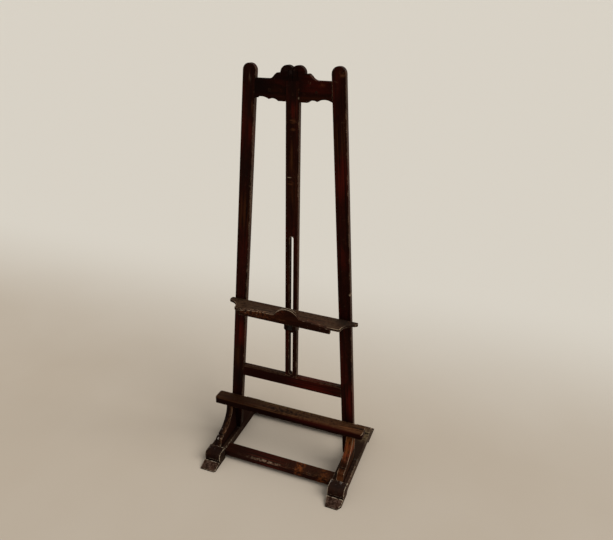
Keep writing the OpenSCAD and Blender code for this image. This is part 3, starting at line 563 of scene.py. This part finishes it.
dress("shelf_lip", wood(
    "shelf_lip_stain", ACROSS, 8, **SHELF, fold_shade=0.6, edge_reach=0.0045, top_dust=0.25, extra=marks(
        "shelf_lip",
        # rub below the middle
        Mark((0.5, 0.5, 0.3), (22, WIDE, 5), TAN, 0.6, ("mottle", 0.45, 0.6)),
        # painted shade on the front
        Mark((0.5, 0.5, 0.55), (300, WIDE, 100), LIP_FRONT_SHADE, 0.6, ("front", 0.5, 1.0)),
        # warm raised middle
        Mark((0.46, 0.5, 0.8), (44, WIDE, 26), LIP_SWELL, 0.6, ("mottle", 0.44, 0.58)),
        # streaks at the left
        Mark((0.24, 0.5, 0.5), (45, WIDE, 10), TAN, 0.45, ("mottle", 0.46, 0.6)),
        Mark((0.22, 0.5, 0.35), (110, WIDE, 16), LIP_STREAK, 0.6, ("mottle", 0.44, 0.58)),
        # chips along the left edge
        Mark((0.24, 0.5, 0.55), (110, WIDE, 34), LIP_CHIPS, 0.8, ("chips", 0.0, 0.35)),
        # pale edge right of the middle
        Mark((0.6, 0.5, 0.8), (22, WIDE, 26), PALE, 0.8, ("arris", 0.02, 0.3)),
        # pale rim of the middle
        Mark((0.5, 0.5, 0.9), (48, WIDE, 30), LIP_RIM, 0.9, ("arris", 0.05, 0.5)),
        # chips at both ends
        Mark((0.08, 0.5, 0.55), (70, WIDE, 24), PALE, 0.7, ("chips", 0.0, 0.35)),
        Mark((0.97, 0.5, 0.2), (12, WIDE, 20), PALE, 0.6, ("chips", 0.02, 0.4)),
        # dark lower edge
        Mark((0.5, 0.5, 0.0), (260, WIDE, 7), BLACK, 0.85))))
dress("shelf_block", wood("shelf_block_stain", ACROSS, 9, **BLOCK, edge=0.4, rough=0.55))

# ------------------------------------------------- feet, braces, stretchers


def foot_marks(side):
    """Both feet are worn alike, but the painted shade on the left runner is darker and reaches
    further, and only the right heel is rubbed.
    """
    left = side == "left"
    roll = rgb(19, 8, 7) if left else rgb(28, 19, 16)
    runner, runner_reach = (rgb(24, 9, 5), 230) if left else (rgb(34, 22, 15), 110)
    heel_wear = 0.0 if left else 0.7
    return marks(
        side + "_foot",
        # mottled toe
        Mark((0.5, 0.04, 0.3), (60, 26, 40), TOE_PALE, 0.9, ("mottle", 0.49, 0.58)),
        Mark((0.5, 0.07, 0.5), (60, 30, 40), TOE_DARK, 0.7, ("mottle", 0.48, 0.4)),
        # dark roll
        Mark((0.5, 0.14, 0.85), (80, 40, 40), roll, 0.95, ("mottle", 0.28, 0.52)),
        # grey specks on the roll
        Mark((0.5, 0.17, 0.95), (60, 20, 30), ROLL_SPECKS, 0.8, ("mottle", 0.58, 0.64)),
        # chips on roll and toe
        Mark((0.5, 0.1, 0.85), (80, 90, 80), FOOT_CHIPS, 0.9, ("chips", 0.0, 0.35)),
        # worn outer arris
        Mark((1.0, 0.4, 0.5), (22, 420, 60), FOOT_ARRIS, 0.75, ("chips", 0.0, 0.45)),
        # painted shade on the top of the runner
        Mark((0.5, 0.6, 1.0), (130, runner_reach, 70), runner, 0.95),
        # dust on the heel
        Mark((0.5, 0.95, 1.0), (60, 60, 14), HEEL_DUST, 0.6, ("streak", 0.35, 0.6)),
        # rubbed heel
        Mark((0.8, 0.78, 1.0), (40, 56, 14), HEEL_WORN, heel_wear, ("mottle", 0.36, 0.56)),
        # pale line behind the brace
        Mark((0.5, 0.475, 1.0), (60, 6, 14), FOOT_LINE, 0.5, ("mottle", 0.3, 0.5)))


for side, seed in (("left", 10), ("right", 11)):
    dress(side + "_foot", wood(
        side + "_foot_stain", DEPTH, seed, **BASE, breaks=0.49, top_dust=0.35, all_dust=0.08,
        painted_side_light=0.35, shade=2 * CORNER_SHADE, fold_shade=0.9, rough=0.62, scuffs=0.3, bump=0.8,
        extra=foot_marks(side)))
dress("left_brace", wood(
    "left_brace_stain", BRACE_GRAIN, 12, **DARK_BRACE, fold_shade=0.9, breaks=0.48, rough=0.58,
    scuffs=0.3, bump=0.7, extra=marks(
        "left_brace",
        # light right edge
        Mark((0.95, 0.5, 0.5), (10, TALL, TALL), BRACE_LIGHT, 0.6, ("mottle", 0.44, 0.58)),
        # dark left half
        Mark((0.05, 0.5, 0.5), (19, TALL, TALL), BRACE_DARK, 0.95),
        # painted shade on the sides
        Mark((0.5, 0.5, 0.5), (TALL, TALL, TALL), LEFT_BRACE_SIDE_SHADE, 0.97, ("sideways", 0.1, 0.5)),
        # grey specks above the roll
        Mark((0.4, 0.2, 0.3), (22, 60, 26), BRACE_SPECKS, 0.8, ("mottle", 0.58, 0.64)))))
dress("right_brace", wood(
    "right_brace_stain", BRACE_GRAIN, 13, **BRACE, fold_shade=0.9, breaks=0.48, blotch=0.8,
    ring_depth=0.35, rough=0.58, scuffs=0.3, bump=0.7, extra=marks(
        "right_brace",
        # painted shade on the sides
        Mark((0.5, 0.5, 0.5), (TALL, TALL, TALL), RIGHT_BRACE_SIDE_SHADE, 0.7, ("sideways", 0.3, 0.7)),
        # bare streaks in the middle
        Mark((0.5, 0.5, 0.62), (60, TALL, 40), BRACE_BARE, 0.55, ("streak", 0.38, 0.58)),
        # pale right arris
        Mark((1.0, 0.5, 0.55), (9, TALL, 70), PALE, 0.75, ("arris", 0.05, 0.4)),
        # painted shade in the cove at the step
        Mark((0.5, 0.5, 0.3), (40, TALL, 9), BLACK, 0.8, ("mottle", 0.3, 0.5)),
        # red above the step
        Mark((0.4, 0.5, 0.52), (40, TALL, 30), BRACE_RED, 0.5, ("mottle", 0.42, 0.56)),
        # painted shade at the top of the brace, below the ledge
        Mark((0.5, 0.5, 0.98), (40, TALL, 26), BRACE_SHADE_UNDER_LEDGE, 0.6))))
dress("front_stretcher", wood(
    "front_stretcher_stain", ACROSS, 14, **LEDGE, edge_reach=0.004, top_dust=0.2, rough=0.55,
    scuffs=0.3, extra=marks(
        "front_stretcher",
        # dark red ground
        Mark((0.42, 0.5, 0.5), (300, WIDE, 60), BAR_GROUND, 0.6, ("mottle", 0.3, 0.55)),
        # bare patches
        Mark((0.68, 0.5, 0.8), (24, WIDE, 30), ORANGE, 0.65, ("mottle", 0.42, 0.58)),
        Mark((0.88, 0.5, 0.3), (34, WIDE, 30), ORANGE, 0.55, ("mottle", 0.42, 0.58)),
        # pale scuffs on the left arris
        Mark((0.36, 0.0, 0.93), (120, 14, 7), PALE, 0.9, ("mottle", 0.47, 0.58)),
        # chips on the right arris
        Mark((0.75, 0.0, 0.95), (130, 14, 8), TAN, 0.7, ("chips", 0.0, 0.4)),
        # dark left end
        Mark((0.12, 0.5, 0.5), (200, WIDE, 60), BAR_END, 0.75, ("mottle", 0.28, 0.52)),
        # dark top at the left
        Mark((0.26, 0.6, 1.0), (150, 60, 12), BAR_TOP, 0.6, ("mottle", 0.3, 0.5)),
        # red middle
        Mark((0.4, 0.5, 0.6), (120, WIDE, 30), RED, 0.5, ("streak", 0.4, 0.6)),
        # dry streaks
        Mark((0.22, 0.5, 0.8), (150, WIDE, 30), BAR_STREAK, 0.4, ("streak", 0.58, 0.66)))))
dress("rear_stretcher", wood("rear_stretcher_stain", ACROSS, 15, **BASE, edge=0.8, top_dust=0.5,
                             all_dust=0.1, rough=0.62))

# ------------------------------------------------ pegs, small wood and metal

SMALL_WOODS = (
    ("crest_plugs", DEPTH, 24), ("crest_pegs", DEPTH, 16), ("rail_pegs", DEPTH, 17),
    ("post_pegs", DEPTH, 18), ("upright_foot_pegs", ACROSS, 19), ("stretcher_pegs", RISE, 20),
    ("brace_dowels", RISE, 21), ("slot_key", UP, 22), ("clamp_plate", UP, 23))
for node, along, seed in SMALL_WOODS:
    dress(node, wood(node + "_wood", along, seed, **PEG, rings=400, edge=0.25, edge_reach=0.002,
                     rough=0.6))

IRON = metal("iron", rgb(92, 84, 78), rgb(60, 38, 28), 1, rusty=0.9, rough=0.45)
STEEL = metal("plated_steel", rgb(150, 144, 136), rgb(96, 70, 48), 2, rusty=0.25, rough=0.32)
BLACKENED = metal("blackened_iron", rgb(34, 30, 28), rgb(30, 19, 14), 3, rusty=0.9, rough=0.6)
for node in ("brace_screws", "ledge_screws", "shelf_screws", "lip_brads"):
    dress(node, IRON)
dress("clamp_bolt", BLACKENED)
for node in ("clamp_washer", "wing_nut"):
    dress(node, STEEL)


# --------------------------------------------------------- floor, light, camera

FLOOR_SIZE, FLOOR_DROP = 600, 0.0005        # the drop keeps the feet's soles off the floor's plane
NEAR_SHADES = rgb(192, 179, 162), rgb(196, 184, 168)
FAR = rgb(226, 221, 211)
SKY = rgb(217, 210, 198)                    # what the far floor looks like when lit
AMBIENT, AMBIENT_STRENGTH = (1.0, 0.985, 0.96, 1), 0.42
KEY_TOWARD, KEY_STRENGTH = (0.80, -0.12, 0.85), 2.1
KEY_SPREAD, KEY_COLOUR = 45, (1.0, 0.98, 0.95)      # degrees; broad, so that shadows are soft
EYE = (0.7137, -1.6209, 1.6525)             # the camera, as fitted to the photograph's edges
YAW, PITCH, ROLL = (math.radians(degrees) for degrees in (21.59, 25.96, -0.40))
SENSOR, LENS = 36.0, 34.03                  # mm


def make_floor():
    """A plain floor that goes over into the background's tone behind the easel and far from it."""
    bpy.ops.mesh.primitive_plane_add(size=FLOOR_SIZE, location=(0, 0, -FLOOR_DROP))
    floor = bpy.context.object
    floor.name = "floor"
    t = Tree("pale_floor")
    cloud = t.noise(t.place, scale=1.3, detail=4)
    near = t.mix(t.fade(cloud, 0.3, 0.7), *NEAR_SHADES)
    split = t.add("SeparateXYZ", Vector=t.place)
    behind = t.fade(split.outputs["Y"], 0.1, 1.6)
    around = t.fade(t.vector("LENGTH", t.place), 1.5, 4.5)
    t.put(t.shader.inputs["Base Color"], t.mix(t.either(behind, around), near, FAR))
    t.shader.inputs["Roughness"].default_value = 0.9
    t.shader.inputs["Specular IOR Level"].default_value = 0.1
    floor.data.materials.append(t.material)


def make_light():
    """One broad light from the right and a little in front."""
    data = bpy.data.lights.new("key", "SUN")
    data.energy = KEY_STRENGTH
    data.angle = math.radians(KEY_SPREAD)
    data.color = KEY_COLOUR
    lamp = bpy.data.objects.new("key", data)
    lamp.rotation_euler = Vector(KEY_TOWARD).to_track_quat("Z", "Y").to_euler()
    bpy.context.scene.collection.objects.link(lamp)


def make_world():
    """Soft light from all round, and a plain tone where a ray sees the background itself."""
    world = bpy.data.worlds.new("studio")
    world.use_nodes = True
    nodes, links = world.node_tree.nodes, world.node_tree.links
    back = nodes["Background"]
    back.inputs["Color"].default_value = AMBIENT
    back.inputs["Strength"].default_value = AMBIENT_STRENGTH
    pale = nodes.new("ShaderNodeBackground")
    pale.inputs["Color"].default_value = SKY
    rays = nodes.new("ShaderNodeLightPath")
    share = rays.outputs["Is Camera Ray"]
    for ray in ("Is Glossy Ray", "Is Transmission Ray"):
        either = nodes.new("ShaderNodeMath")
        either.operation = "MAXIMUM"
        links.new(share, either.inputs[0])
        links.new(rays.outputs[ray], either.inputs[1])
        share = either.outputs[0]
    pick = nodes.new("ShaderNodeMixShader")
    links.new(share, pick.inputs[0])
    links.new(back.outputs[0], pick.inputs[1])
    links.new(pale.outputs[0], pick.inputs[2])
    links.new(pick.outputs[0], nodes["World Output"].inputs["Surface"])
    bpy.context.scene.world = world


def make_camera():
    """The photograph's view: a standing eye to the right of the easel, looking down on it."""
    forward = Vector((-math.sin(YAW) * math.cos(PITCH), math.cos(YAW) * math.cos(PITCH),
                      -math.sin(PITCH)))
    level = Vector((math.cos(YAW), math.sin(YAW), 0))
    upright = level.cross(forward)
    right = level * math.cos(ROLL) + upright * math.sin(ROLL)
    top = upright * math.cos(ROLL) - level * math.sin(ROLL)
    data = bpy.data.cameras.new("camera")
    data.sensor_width = SENSOR
    data.lens = LENS
    data.clip_end = 1000
    camera = bpy.data.objects.new("camera", data)
    turn = Matrix((right, top, -forward)).transposed()
    camera.matrix_world = Matrix.Translation(EYE) @ turn.to_4x4()
    bpy.context.scene.collection.objects.link(camera)
    bpy.context.scene.camera = camera


make_floor()
make_world()
make_light()
make_camera()
bpy.context.scene.view_settings.view_transform = "Standard"
